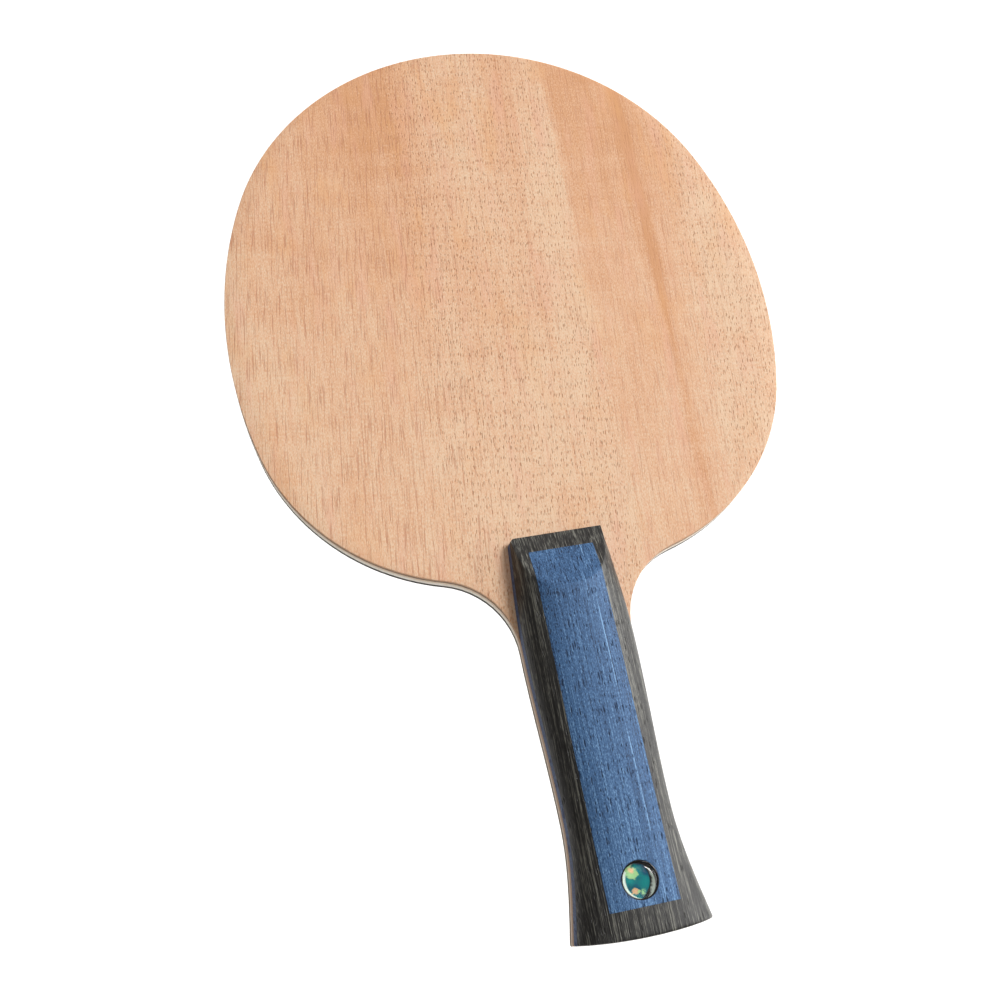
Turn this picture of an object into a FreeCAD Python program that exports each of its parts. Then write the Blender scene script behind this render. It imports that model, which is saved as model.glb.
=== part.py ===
"""Bare table tennis blade with a flared grip, one STEP file per glued piece.

The blade lies flat: X across, Y from butt to tip, Z out of the front face.
The origin is the centre of the whole paddle's box, which is on the blade's middle plane.
"Station" means a distance along Y from the grip's head end, positive towards the tip.
All lengths are in millimetres and all angles in degrees.
"""

import FreeCAD, Part
import math
import os

from FreeCAD import Vector

# Overall lengths
HEAD_LENGTH = 157.0
GRIP_LENGTH = 99.5
HEAD_END_Y = (GRIP_LENGTH - HEAD_LENGTH) / 2

# Head outline: tangent arcs from the tip down the side, then the hollow arc of the neck
TIP_RADIUS = 72.5
TIP_SWEEP = 68.7
SIDE_RADIUS = 122.8
SIDE_SWEEP = 36.7
HEEL_RADIUS = 59.0
HEEL_SWEEP = 59.2
NECK_RADIUS = 21.7
NECK_SWEEP = TIP_SWEEP + SIDE_SWEEP + HEEL_SWEEP - 90.0

# Grip outline, seen from the front: half-widths, and the stations where they are
TOP_HALF_WIDTH = 12.55
TOP_FLARE = 0.075
WAIST_HALF_WIDTH = 13.25
WAIST_STATION = -71.4
BUTT_HALF_WIDTH = 16.8
BUTT_FLARE = 0.2
BUTT_SAG = 1.1
BUTT_CORNER_STATION = BUTT_SAG - GRIP_LENGTH

# Lay-up of the blade, from the middle outwards
CORE_THICKNESS = 2.8
FIBRE_THICKNESS = 0.3
INNER_THICKNESS = 0.5
FACE_THICKNESS = 0.6
BLADE_THICKNESS = CORE_THICKNESS + 2 * (FIBRE_THICKNESS + INNER_THICKNESS + FACE_THICKNESS)
HALF_BLADE = BLADE_THICKNESS / 2

# Each half of the grip: a blue base layer, a dark crowned shell and a blue inlay
CROWN_AT_HEAD_END = 11.9
CROWN_AT_BUTT = 11.2
SIDE_FULLNESS = 0.64
SIDE_LEAN = 0.15
CROWN_FULLNESS = 0.7
BASE_THICKNESS = 1.9
BEVEL_FOOT = 2.3
BEVEL_SLOPE = 0.42
CORNER_CHAMFER = 1.2

# The grip's sides stay this far inside the blade's edge, so that nothing overhangs the bare faces
SIDE_INSET = 0.01

# The grip is lofted through sections this far apart, past both ends by an overrun that is cut off
LOFT_STEP = 8.0
OVERRUN = 3.0

INLAY_HALF_WIDTH = 8.42
INLAY_TOP_STATION = -5.0
INLAY_BOTTOM_STATION = -93.0
INLAY_FLOOR = 6.2

# Round badge let into the front inlay
BADGE_STATION = -87.2
BADGE_RADIUS = 4.4
BADGE_FLOOR = 8.9
CUP_WALL = 0.4
CUP_FLOOR = 0.4
CUP_RIM = 11.1
FOIL_THICKNESS = 0.15
DOME_HEIGHT = 0.75

# Blocks that only cut or divide the grip reach this far from the middle of its head end
REACH = 120.0


def at(x, station, z=0.0):
    """A point given by its station along the paddle."""
    return Vector(x, HEAD_END_Y + station, z)


def tangent_arc(start, heading, radius, sweep, side):
    """An arc that leaves start along heading and bends to side (+1 left, -1 right).

    Returns the edge, its end and the heading there.
    """
    def point(turned):
        angle = math.radians(heading + side * (turned - 90.0))
        return centre + Vector(math.cos(angle), math.sin(angle), 0) * radius

    out = math.radians(heading + side * 90.0)
    centre = start + Vector(math.cos(out), math.sin(out), 0) * radius
    end = point(sweep)
    edge = Part.Arc(start, point(sweep / 2), end).toShape()
    return edge, end, heading + side * sweep


def head_side():
    """The right side of the head, from the tip to the end of the neck, and its last point."""
    pieces = [
        (TIP_RADIUS, TIP_SWEEP, -1),
        (SIDE_RADIUS, SIDE_SWEEP, -1),
        (HEEL_RADIUS, HEEL_SWEEP, -1),
        (NECK_RADIUS, NECK_SWEEP, 1),
    ]
    point = at(0, HEAD_LENGTH)
    heading = 0.0
    edges = []
    for radius, sweep, side in pieces:
        edge, point, heading = tangent_arc(point, heading, radius, sweep, side)
        edges.append(edge)
    return edges, point


HEAD_EDGES, NECK_END = head_side()
PALM_HALF_WIDTH = NECK_END.x
PALM_STATION = NECK_END.y - HEAD_END_Y

# The grip's side runs through these: station, half-width and how fast the width grows downwards
SIDE_POINTS = [
    (0.0, TOP_HALF_WIDTH, TOP_FLARE),
    (PALM_STATION, PALM_HALF_WIDTH, 0.0),
    (WAIST_STATION, WAIST_HALF_WIDTH, 0.0),
    (BUTT_CORNER_STATION, BUTT_HALF_WIDTH, BUTT_FLARE),
]


def side_poles(upper, lower):
    """The four poles of the cubic curve between two points of the grip's side."""
    station_a, width_a, flare_a = upper
    station_b, width_b, flare_b = lower
    third = (station_a - station_b) / 3
    return [
        at(width_a, station_a),
        at(width_a + flare_a * third, station_a - third),
        at(width_b - flare_b * third, station_b + third),
        at(width_b, station_b),
    ]


def side_curve(upper, lower):
    """One stretch of the grip's right side as an edge."""
    curve = Part.BezierCurve()
    curve.setPoles(side_poles(upper, lower))
    return curve.toShape()


def half_width(station):
    """The grip's half-width at a station; past either end the side runs on straight."""
    if station > 0:
        return TOP_HALF_WIDTH - TOP_FLARE * station
    if station < BUTT_CORNER_STATION:
        return BUTT_HALF_WIDTH + BUTT_FLARE * (BUTT_CORNER_STATION - station)
    for upper, lower in zip(SIDE_POINTS, SIDE_POINTS[1:]):
        if station >= lower[0]:
            share = (upper[0] - station) / (upper[0] - lower[0])
            curve = Part.BezierCurve()
            curve.setPoles(side_poles(upper, lower))
            return curve.value(share).x


def crown_height(station):
    """Height of the grip's crown above the blade's middle plane."""
    share = -station / GRIP_LENGTH
    return CROWN_AT_HEAD_END + (CROWN_AT_BUTT - CROWN_AT_HEAD_END) * share


def mirrored(edges):
    """The same edges on the left side."""
    return [edge.mirror(Vector(0, 0, 0), Vector(1, 0, 0)) for edge in edges]


def flat_face(edges):
    """A flat face inside a closed chain of edges."""
    return Part.Face(Part.Wire(Part.__sortEdges__(edges)))


def butt_arc():
    """The convex end of the grip, from the left corner to the right one."""
    left = at(-BUTT_HALF_WIDTH, BUTT_CORNER_STATION)
    right = at(BUTT_HALF_WIDTH, BUTT_CORNER_STATION)
    return Part.Arc(left, at(0, -GRIP_LENGTH), right).toShape()


def grip_top_line():
    """The straight head end of the grip."""
    return Part.makeLine(at(-TOP_HALF_WIDTH, 0), at(TOP_HALF_WIDTH, 0))


def lower_sides():
    """Both sides of the tang below the neck, where blade and grip are flush."""
    edges = [side_curve(a, b) for a, b in zip(SIDE_POINTS[1:], SIDE_POINTS[2:])]
    return edges + mirrored(edges)


def upper_sides():
    """Both sides of the grip above the end of the neck, where they lie on the blade."""
    edges = [side_curve(SIDE_POINTS[0], SIDE_POINTS[1])]
    return edges + mirrored(edges)


def blade_outline():
    """The whole blade, head and tang in one."""
    return flat_face(HEAD_EDGES + mirrored(HEAD_EDGES) + lower_sides() + [butt_arc()])


def bare_head():
    """The part of the blade that the grip leaves uncovered."""
    edges = HEAD_EDGES + mirrored(HEAD_EDGES) + upper_sides() + [grip_top_line()]
    return flat_face(edges)


def grip_footprint():
    """The part of the blade under the grip."""
    return flat_face(upper_sides() + lower_sides() + [grip_top_line(), butt_arc()])


def sheet(face, low, thickness):
    """A flat face made into a sheet that starts at height low."""
    return face.translated(Vector(0, 0, low)).extrude(Vector(0, 0, thickness))


def face_ply(low):
    """An outer ply. Its bare area stays a face of its own, for the rubber sheet."""
    bare = sheet(bare_head(), low, FACE_THICKNESS)
    covered = sheet(grip_footprint(), low, FACE_THICKNESS)
    return bare.fuse(covered)


def to_back(shape):
    """The same piece on the back of the blade."""
    return shape.mirror(Vector(0, 0, 0), Vector(0, 0, 1))


def grip_section(station):
    """The closed section of half a grip: flat below, crowned above, with sides that lean in."""
    width = half_width(station) - SIDE_INSET
    top = crown_height(station)
    rise = (top - HALF_BLADE) * SIDE_FULLNESS
    side = [
        at(width, station, HALF_BLADE),
        at(width - rise * SIDE_LEAN, station, HALF_BLADE + rise),
        at(width * CROWN_FULLNESS, station, top),
        at(0, station, top),
    ]
    right = Part.BezierCurve()
    right.setPoles(side)
    left = Part.BezierCurve()
    left.setPoles([Vector(-pole.x, pole.y, pole.z) for pole in reversed(side)])
    base = Part.makeLine(at(-width, station, HALF_BLADE), at(width, station, HALF_BLADE))
    return Part.Wire([right.toShape(), left.toShape(), base])


def end_trim():
    """A block with the grip's straight head end and convex butt, wider than the grip."""
    side = BUTT_HALF_WIDTH + OVERRUN
    corner_station = BUTT_SAG * (side / BUTT_HALF_WIDTH) ** 2 - GRIP_LENGTH
    low_left = at(-side, corner_station)
    low_right = at(side, corner_station)
    edges = [
        Part.Arc(low_left, at(0, -GRIP_LENGTH), low_right).toShape(),
        Part.makeLine(low_right, at(side, 0)),
        Part.makeLine(at(side, 0), at(-side, 0)),
        Part.makeLine(at(-side, 0), low_left),
    ]
    return sheet(flat_face(edges), 0, REACH)


def thumb_bevel():
    """The wedge sanded off the head end of the grip for the thumb."""
    foot = HALF_BLADE + BEVEL_FOOT
    points = [
        at(-REACH, OVERRUN, foot - BEVEL_SLOPE * OVERRUN),
        at(-REACH, -REACH, foot + BEVEL_SLOPE * REACH),
        at(-REACH, OVERRUN, foot + BEVEL_SLOPE * REACH),
    ]
    wedge = Part.Face(Part.makePolygon(points + points[:1]))
    return wedge.extrude(Vector(2 * REACH, 0, 0))


def corner_cut():
    """The small cut across the front grip's left corner at the head end."""
    points = [
        at(-TOP_HALF_WIDTH - OVERRUN, -CORNER_CHAMFER - OVERRUN),
        at(-TOP_HALF_WIDTH + CORNER_CHAMFER + OVERRUN, OVERRUN),
        at(-TOP_HALF_WIDTH - OVERRUN, OVERRUN),
    ]
    return sheet(Part.Face(Part.makePolygon(points + points[:1])), 0, REACH)


def half_grip():
    """One half of the grip as a single block, to be divided into its layers."""
    count = math.ceil((GRIP_LENGTH + 2 * OVERRUN) / LOFT_STEP)
    step = (GRIP_LENGTH + 2 * OVERRUN) / count
    stations = [OVERRUN - i * step for i in range(count + 1)]
    block = Part.makeLoft([grip_section(s) for s in stations], True, False)
    return block.common(end_trim()).cut(thumb_bevel())


def slab(low, high):
    """A wide flat block between two heights, over the whole grip."""
    return Part.makeBox(2 * REACH, 2 * REACH, high - low, at(-REACH, -REACH, low))


def inlay_pocket():
    """The straight-sided pocket that the inlay fills."""
    length = INLAY_TOP_STATION - INLAY_BOTTOM_STATION
    corner = at(-INLAY_HALF_WIDTH, INLAY_BOTTOM_STATION, INLAY_FLOOR)
    return Part.makeBox(2 * INLAY_HALF_WIDTH, length, REACH, corner)


def grip_layers(block):
    """Base layer, crowned shell and inlay of one half of the grip."""
    base_top = HALF_BLADE + BASE_THICKNESS
    base = block.common(slab(HALF_BLADE, base_top))
    upper = block.common(slab(base_top, REACH))
    return base, upper.cut(inlay_pocket()), upper.common(inlay_pocket())


def disc(radius, low, high):
    """An upright round disc on the badge's axis."""
    return Part.makeCylinder(radius, high - low, at(0, BADGE_STATION, low))


def badge_cup():
    """The thin dark cup that lines the badge's round pocket."""
    inside = disc(BADGE_RADIUS - CUP_WALL, BADGE_FLOOR + CUP_FLOOR, REACH)
    return disc(BADGE_RADIUS, BADGE_FLOOR, CUP_RIM).cut(inside)


def badge_foil():
    """The coloured disc on the cup's floor."""
    low = BADGE_FLOOR + CUP_FLOOR
    return disc(BADGE_RADIUS - CUP_WALL, low, low + FOIL_THICKNESS)


def badge_lens():
    """The clear domed lens that fills the cup above the foil."""
    radius = BADGE_RADIUS - CUP_WALL
    low = BADGE_FLOOR + CUP_FLOOR + FOIL_THICKNESS
    dome_radius = (radius ** 2 + DOME_HEIGHT ** 2) / (2 * DOME_HEIGHT)
    ball = Part.makeSphere(dome_radius, at(0, BADGE_STATION, CUP_RIM + DOME_HEIGHT - dome_radius))
    return disc(radius, low, CUP_RIM + DOME_HEIGHT).common(ball)


def blade_pieces():
    """The seven plies, named from the middle outwards."""
    outline = blade_outline()
    pieces = {"core_ply": sheet(outline, -CORE_THICKNESS / 2, CORE_THICKNESS)}
    fibre_low = CORE_THICKNESS / 2
    inner_low = fibre_low + FIBRE_THICKNESS
    front = {
        "fibre_ply": sheet(outline, fibre_low, FIBRE_THICKNESS),
        "inner_ply": sheet(outline, inner_low, INNER_THICKNESS),
        "face_ply": face_ply(inner_low + INNER_THICKNESS),
    }
    for name, shape in front.items():
        pieces[name + "_front"] = shape
        pieces[name + "_back"] = to_back(shape)
    return pieces


def grip_pieces():
    """Both halves of the grip and the badge."""
    block = half_grip()
    base, shell, inlay = grip_layers(block.cut(corner_cut()))
    pieces = {
        "grip_base_front": base,
        "grip_shell_front": shell,
        "grip_inlay_front": inlay.cut(disc(BADGE_RADIUS, BADGE_FLOOR, REACH)),
        "badge_cup": badge_cup(),
        "badge_foil": badge_foil(),
        "badge_lens": badge_lens(),
    }
    base, shell, inlay = grip_layers(block)
    pieces["grip_base_back"] = to_back(base)
    pieces["grip_shell_back"] = to_back(shell)
    pieces["grip_inlay_back"] = to_back(inlay)
    return pieces


def write_all(pieces):
    """One STEP file for each piece."""
    os.makedirs("parts", exist_ok=True)
    for name, shape in sorted(pieces.items()):
        box = shape.optimalBoundingBox(False)
        solids = len(shape.Solids)
        print(f"{name}: {solids} solid, valid {shape.isValid()}, {shape.Volume:.0f} mm3,"
              f" x {box.XMin:.2f}..{box.XMax:.2f}, y {box.YMin:.2f}..{box.YMax:.2f},"
              f" z {box.ZMin:.2f}..{box.ZMax:.2f}")
        shape.exportStep(f"parts/{name}.step")


write_all({**blade_pieces(), **grip_pieces()})
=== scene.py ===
"""Looks of a bare table tennis blade with a flared grip: each glued piece as a detailed mesh.

Lengths are worked out in millimetres and turned into metres where a mesh is made.
X runs across, Y from butt to tip and Z out of the front face, as in the CAD frame.
"Station" is a distance along Y from the grip's head end, positive towards the tip.
"""

import math

import bmesh
import bpy
import numpy as np
from mathutils import Matrix, Vector


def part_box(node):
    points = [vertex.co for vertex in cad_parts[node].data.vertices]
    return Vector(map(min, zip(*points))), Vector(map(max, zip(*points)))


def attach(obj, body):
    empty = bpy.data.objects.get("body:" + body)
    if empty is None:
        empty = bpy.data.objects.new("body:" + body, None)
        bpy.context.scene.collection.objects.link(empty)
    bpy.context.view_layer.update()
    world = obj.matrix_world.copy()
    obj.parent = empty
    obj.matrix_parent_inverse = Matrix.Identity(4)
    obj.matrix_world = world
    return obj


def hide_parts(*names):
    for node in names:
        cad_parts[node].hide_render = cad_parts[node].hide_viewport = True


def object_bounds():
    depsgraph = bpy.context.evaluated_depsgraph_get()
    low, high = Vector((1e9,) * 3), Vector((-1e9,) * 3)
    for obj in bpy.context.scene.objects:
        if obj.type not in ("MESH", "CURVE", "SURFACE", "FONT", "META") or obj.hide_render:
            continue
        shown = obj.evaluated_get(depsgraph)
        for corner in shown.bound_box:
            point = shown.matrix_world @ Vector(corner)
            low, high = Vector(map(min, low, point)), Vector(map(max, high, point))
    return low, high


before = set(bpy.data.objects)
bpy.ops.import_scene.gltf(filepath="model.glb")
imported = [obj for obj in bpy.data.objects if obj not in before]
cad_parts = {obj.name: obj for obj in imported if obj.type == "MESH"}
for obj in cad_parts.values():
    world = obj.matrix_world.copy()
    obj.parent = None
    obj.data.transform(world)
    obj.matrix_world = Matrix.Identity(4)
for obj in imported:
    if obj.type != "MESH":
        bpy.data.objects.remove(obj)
cad_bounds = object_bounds()

MM = 0.001
QUARTER = math.pi / 2


def low_corner(node):
    """Lowest corner of a CAD node's box, in millimetres."""
    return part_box(node)[0] / MM


def high_corner(node):
    """Highest corner of a CAD node's box, in millimetres."""
    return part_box(node)[1] / MM


# Places read from the frame
TIP_Y = high_corner("core_ply").y
BUTT_Y = low_corner("core_ply").y
HEAD_END_Y = high_corner("grip_base_front").y
HALF_BLADE = high_corner("face_ply_front").z
BASE_TOP = high_corner("grip_base_front").z
INLAY_FLOOR = low_corner("grip_inlay_front").z
INLAY_HALF_WIDTH = high_corner("grip_inlay_front").x
INLAY_TOP = high_corner("grip_inlay_front").y - HEAD_END_Y
INLAY_BOTTOM = low_corner("grip_inlay_front").y - HEAD_END_Y
BUTT_HALF_WIDTH = high_corner("grip_base_front").x
BUTT_STATION = BUTT_Y - HEAD_END_Y
BADGE_LOW = low_corner("badge_cup")
BADGE_HIGH = high_corner("badge_cup")
BADGE_RADIUS = (BADGE_HIGH.x - BADGE_LOW.x) / 2
BADGE_Y = (BADGE_HIGH.y + BADGE_LOW.y) / 2
BADGE_STATION = BADGE_Y - HEAD_END_Y
LENS_TOP = high_corner("badge_lens").z
FOIL_TOP = high_corner("badge_foil").z
CUP_FLOOR = low_corner("badge_foil").z

# Head outline: radius, sweep in degrees and side (-1 right, +1 left) of its tangent arcs
CONVEX_ARCS = [(72.5, 68.7, -1), (122.8, 36.7, -1), (59.0, 59.2, -1)]
NECK_SWEEP = sum(sweep for _, sweep, _ in CONVEX_ARCS) - 90
HEAD_ARCS = CONVEX_ARCS + [(21.7, NECK_SWEEP, 1)]
ARC_STEP = 2.4

# Grip outline and crown
TOP_HALF_WIDTH = 12.55
TOP_FLARE = 0.075
WAIST_HALF_WIDTH = 13.25
WAIST_STATION = -71.4
BUTT_FLARE = 0.2
BUTT_SAG = 1.1
BUTT_CORNER = BUTT_STATION + BUTT_SAG
CROWN_AT_HEAD_END = 11.9
CROWN_AT_BUTT = 11.2
SIDE_FULLNESS = 0.64
SIDE_LEAN = 0.15
CROWN_FULLNESS = 0.7
BEVEL_FOOT = 2.3
BEVEL_SLOPE = 0.42
BEVEL_SOFTNESS = 0.08
CORNER_CHAMFER = 1.2

# Softened edges
RIM_ROUND = 0.18
TANG_ROUND = 0.03
BUTT_ROUND = 0.6
TOP_ROUND = 0.15
PLY_INSET = 0.01
FIBRE_INSET = 0.05
SHARP_ANGLE = math.radians(32)

# Steps over the softened edges
RIM_STEPS = 4
TOP_STEPS = 3
TANG_STEPS = 5
BUTT_STEPS = 6


# ---------- mesh helpers

class Skin:
    """A mesh built from named points, so that neighbouring faces share them."""

    def __init__(self):
        self.points = []
        self.index = {}
        self.faces = []

    def point(self, key, place):
        """Adds a point in millimetres under a name, once."""
        if key not in self.index:
            self.index[key] = len(self.points)
            self.points.append(Vector(place) * MM)

    def face(self, *keys):
        """Adds a face; names that repeat are merged, so a quad may close to a triangle."""
        corners = list(dict.fromkeys(self.index[key] for key in keys))
        if len(corners) > 2:
            self.faces.append(corners)

    def cell(self, level, i, j):
        """The quad that starts at row i and column j of one level."""
        self.face((level, i, j), (level, i, j + 1), (level, i + 1, j + 1), (level, i + 1, j))

    def strip(self, first, second):
        """Quads between two chains of names of the same length."""
        for a, b, c, d in zip(first, first[1:], second[1:], second):
            self.face(a, b, c, d)


def add_object(name, data):
    """Puts a mesh, light or camera into the scene."""
    thing = bpy.data.objects.new(name, data)
    bpy.context.scene.collection.objects.link(thing)
    return thing


def add_piece(skin, name, node, material):
    """Makes the object that stands for a CAD node."""
    mesh = bpy.data.meshes.new(name)
    mesh.from_pydata(skin.points, [], skin.faces)
    work = bmesh.new()
    work.from_mesh(mesh)
    bmesh.ops.recalc_face_normals(work, faces=work.faces)
    work.to_mesh(mesh)
    work.free()
    mesh.shade_smooth()
    mesh.set_sharp_from_angle(angle=SHARP_ANGLE)
    mesh.materials.append(material)
    piece = add_object(name, mesh)
    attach(piece, "root")
    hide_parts(node)
    return piece


# ---------- blade outline

def smooth_step(share):
    """0 to 1 with level ends."""
    share = min(max(share, 0.0), 1.0)
    return share * share * (3 - 2 * share)


def cubic(poles, t):
    """A point of a cubic curve with four poles; the poles may be numbers or vectors."""
    a, b, c, d = poles
    u = 1 - t
    return a * u ** 3 + b * 3 * u * u * t + c * 3 * u * t * t + d * t ** 3


def head_side():
    """Points down the right side of the head, each with its rim rounding."""
    place = Vector((0.0, TIP_Y))
    heading = 0.0
    points = [(place, RIM_ROUND)]
    for number, (radius, sweep, side) in enumerate(HEAD_ARCS):
        out = math.radians(heading + side * 90.0)
        centre = place + Vector((math.cos(out), math.sin(out))) * radius
        count = math.ceil(radius * math.radians(sweep) / ARC_STEP)
        is_neck = number == len(HEAD_ARCS) - 1
        for i in range(1, count + 1):
            share = i / count
            angle = math.radians(heading + side * (sweep * share - 90.0))
            point = centre + Vector((math.cos(angle), math.sin(angle))) * radius
            fade = smooth_step(share) if is_neck else 0.0
            points.append((point, RIM_ROUND + (TANG_ROUND - RIM_ROUND) * fade))
        place = points[-1][0]
        heading += side * sweep
    return points


HEAD_SIDE = head_side()
PALM = HEAD_SIDE[-1][0]
PALM_STATION = PALM.y - HEAD_END_Y
PALM_HALF_WIDTH = PALM.x

# Stations, half-widths and flares that the grip's side runs through
SIDE_POINTS = [
    (0.0, TOP_HALF_WIDTH, TOP_FLARE),
    (PALM_STATION, PALM_HALF_WIDTH, 0.0),
    (WAIST_STATION, WAIST_HALF_WIDTH, 0.0),
    (BUTT_CORNER, BUTT_HALF_WIDTH, BUTT_FLARE),
]


def half_width(station):
    """The grip's half-width at a station; past either end the side runs on straight."""
    if station > 0:
        return TOP_HALF_WIDTH - TOP_FLARE * station
    if station < BUTT_CORNER:
        return BUTT_HALF_WIDTH + BUTT_FLARE * (BUTT_CORNER - station)
    for (top, width_a, flare_a), (bottom, width_b, flare_b) in zip(SIDE_POINTS, SIDE_POINTS[1:]):
        if station >= bottom:
            third = (top - bottom) / 3
            poles = (width_a, width_a + flare_a * third, width_b - flare_b * third, width_b)
            return cubic(poles, (top - station) / (top - bottom))


def butt_line(x):
    """Station of the convex butt at a distance from the middle."""
    radius = (BUTT_HALF_WIDTH ** 2 + BUTT_SAG ** 2) / (2 * BUTT_SAG)
    return BUTT_STATION + radius - math.sqrt(radius ** 2 - x * x)


def round_loss(distance, radius):
    """How far a rounded edge lies inside the sharp one, at a distance from the end face."""
    short = min(max(radius - distance, 0.0), radius)
    return radius - math.sqrt(radius ** 2 - short ** 2)


def round_steps(radius, count):
    """Distances from the end face that follow a rounded edge evenly, nearest first."""
    return [radius * (1 - math.cos(QUARTER * i / count)) for i in range(count)]


def tang_side():
    """Points down the right side of the tang and along the butt to its middle."""
    corner = BUTT_CORNER + BUTT_ROUND
    count = math.ceil((PALM_STATION - corner) / ARC_STEP)
    stations = [PALM_STATION + (corner - PALM_STATION) * i / count for i in range(1, count + 1)]
    stations += [BUTT_CORNER + step for step in reversed(round_steps(BUTT_ROUND, TANG_STEPS))]
    points = []
    for station in stations:
        x = half_width(station) - round_loss(station - BUTT_CORNER, BUTT_ROUND)
        points.append((Vector((x, HEAD_END_Y + station)), TANG_ROUND))
    end = points[-1][0].x
    across = math.ceil(end / ARC_STEP)
    for i in range(1, across + 1):
        x = end * (1 - i / across)
        points.append((Vector((x, HEAD_END_Y + butt_line(x))), TANG_ROUND))
    return points


BLADE_SIDE = HEAD_SIDE + tang_side()


def side_normals():
    """Outward directions along the right side of the blade."""
    places = [point for point, _ in BLADE_SIDE]
    before = [Vector((-places[1].x, places[1].y))] + places[:-1]
    after = places[1:] + [Vector((-places[-2].x, places[-2].y))]
    normals = []
    for a, b in zip(before, after):
        along = (b - a).normalized()
        normals.append(Vector((-along.y, along.x)))
    return normals


BLADE_NORMALS = side_normals()


def rim_profile(rounded):
    """Inset and drop of each ring over a ply's edge, as shares of the rounding."""
    if not rounded:
        return [(0.0, 0.0)]
    angles = [QUARTER * i / RIM_STEPS for i in range(RIM_STEPS + 1)]
    return [(1 - math.sin(a), 1 - math.cos(a)) for a in angles]


def ply_skin(outer, inner, rounded, inset, columns):
    """A closed ply between two heights; its outer edge may be rounded."""
    skin = Skin()
    direction = math.copysign(1.0, inner - outer)
    rings = [(share, drop, outer) for share, drop in rim_profile(rounded)]
    rings.append((0.0, 0.0, inner))
    last = len(BLADE_SIDE) - 1
    for ring, (share, drop, level) in enumerate(rings):
        for i, ((place, rounding), normal) in enumerate(zip(BLADE_SIDE, BLADE_NORMALS)):
            x, y = place - normal * (inset + share * rounding)
            z = level + direction * drop * rounding
            if i in (0, last):
                skin.point((ring, i, 0), (0, y, z))
                skin.index[ring, i, columns] = skin.index[ring, i, 0]
                continue
            skin.point((ring, i, 0), (-x, y, z))
            skin.point((ring, i, columns), (x, y, z))
    top, bottom = 0, len(rings) - 1
    for ring in (top, bottom):
        for i in range(1, last):
            left = skin.points[skin.index[ring, i, 0]] / MM
            right = skin.points[skin.index[ring, i, columns]] / MM
            for j in range(1, columns):
                skin.point((ring, i, j), left.lerp(right, j / columns))
        for end in (0, last):
            for j in range(1, columns):
                skin.index[ring, end, j] = skin.index[ring, end, 0]
        for i in range(last):
            for j in range(columns):
                skin.cell(ring, i, j)
    for ring in range(bottom):
        for side in (0, columns):
            skin.strip([(ring, i, side) for i in range(last + 1)],
                       [(ring + 1, i, side) for i in range(last + 1)])
    return skin


# ---------- grip surface

# The section's curve at even steps: its spread and height as shares, and how much it leans in
SECTION_SAMPLES = 801
SECTION_T = np.linspace(0.0, 1.0, SECTION_SAMPLES)
SECTION_SPREAD = cubic((1.0, 1.0, CROWN_FULLNESS, 0.0), SECTION_T)
SECTION_UP = cubic((0.0, SIDE_FULLNESS, 1.0, 1.0), SECTION_T)
SECTION_LEAN = cubic((0.0, SIDE_LEAN * SIDE_FULLNESS, 0.0, 0.0), SECTION_T)

WALL_STEPS = 6
STRIP_STEPS = 30
INLAY_STEPS = 16
SIDE_STEPS = WALL_STEPS + STRIP_STEPS
HALF_STEPS = SIDE_STEPS + INLAY_STEPS
LAST_COLUMN = 2 * HALF_STEPS
INLAY_FIRST = SIDE_STEPS
INLAY_LAST = LAST_COLUMN - SIDE_STEPS

# The base layer's flat top has every fourth column only
BASE_SPACING = 4

CELL = INLAY_HALF_WIDTH / INLAY_STEPS
BADGE_CELLS = 10
BADGE_ROWS_TOP = BADGE_STATION + CELL * BADGE_CELLS
BADGE_ROWS_BOTTOM = BADGE_STATION - CELL * BADGE_CELLS
FINE_END = -17.0
FINE_STEP = 0.3
LONG_STEP = 1.5


def soft_min(a, b, softness):
    """The lower of two values, with a rounded change-over."""
    overlap = max(softness - abs(a - b), 0.0) / softness
    return min(a, b) - overlap * overlap * softness / 4


def crown_rise(station):
    """Height of the crown above the blade's face."""
    share = station / BUTT_STATION
    return CROWN_AT_HEAD_END + (CROWN_AT_BUTT - CROWN_AT_HEAD_END) * share - HALF_BLADE


def crown_t(x, station):
    """Where the section's curve is at a distance from the middle."""
    across = half_width(station) * SECTION_SPREAD - crown_rise(station) * SECTION_LEAN
    return np.interp(x, across[::-1], SECTION_T[::-1])


def column_t(column, station):
    """Where a column counted from the side lies on the section's curve."""
    base_t = np.interp((BASE_TOP - HALF_BLADE) / crown_rise(station), SECTION_UP, SECTION_T)
    if column <= WALL_STEPS:
        return base_t * column / WALL_STEPS
    inlay_x = INLAY_HALF_WIDTH
    if column > SIDE_STEPS:
        inlay_x *= (HALF_STEPS - column) / INLAY_STEPS
    inlay_t = crown_t(inlay_x, station)
    if column >= SIDE_STEPS:
        return inlay_t
    return base_t + (inlay_t - base_t) * (column - WALL_STEPS) / STRIP_STEPS


def section_point(t, station):
    """Distance from the middle, height over the face, and outward direction."""
    width = half_width(station)
    rise = crown_rise(station)
    knee = rise * SIDE_FULLNESS
    poles = [
        Vector((width, 0)),
        Vector((width - knee * SIDE_LEAN, knee)),
        Vector((width * CROWN_FULLNESS, rise)),
        Vector((0, rise)),
    ]
    legs = [b - a for a, b in zip(poles, poles[1:])]
    slope = legs[0] * (1 - t) ** 2 + legs[1] * 2 * t * (1 - t) + legs[2] * t ** 2
    x, z = cubic(poles, t)
    return x, z, Vector((slope.y, -slope.x)).normalized()


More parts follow.
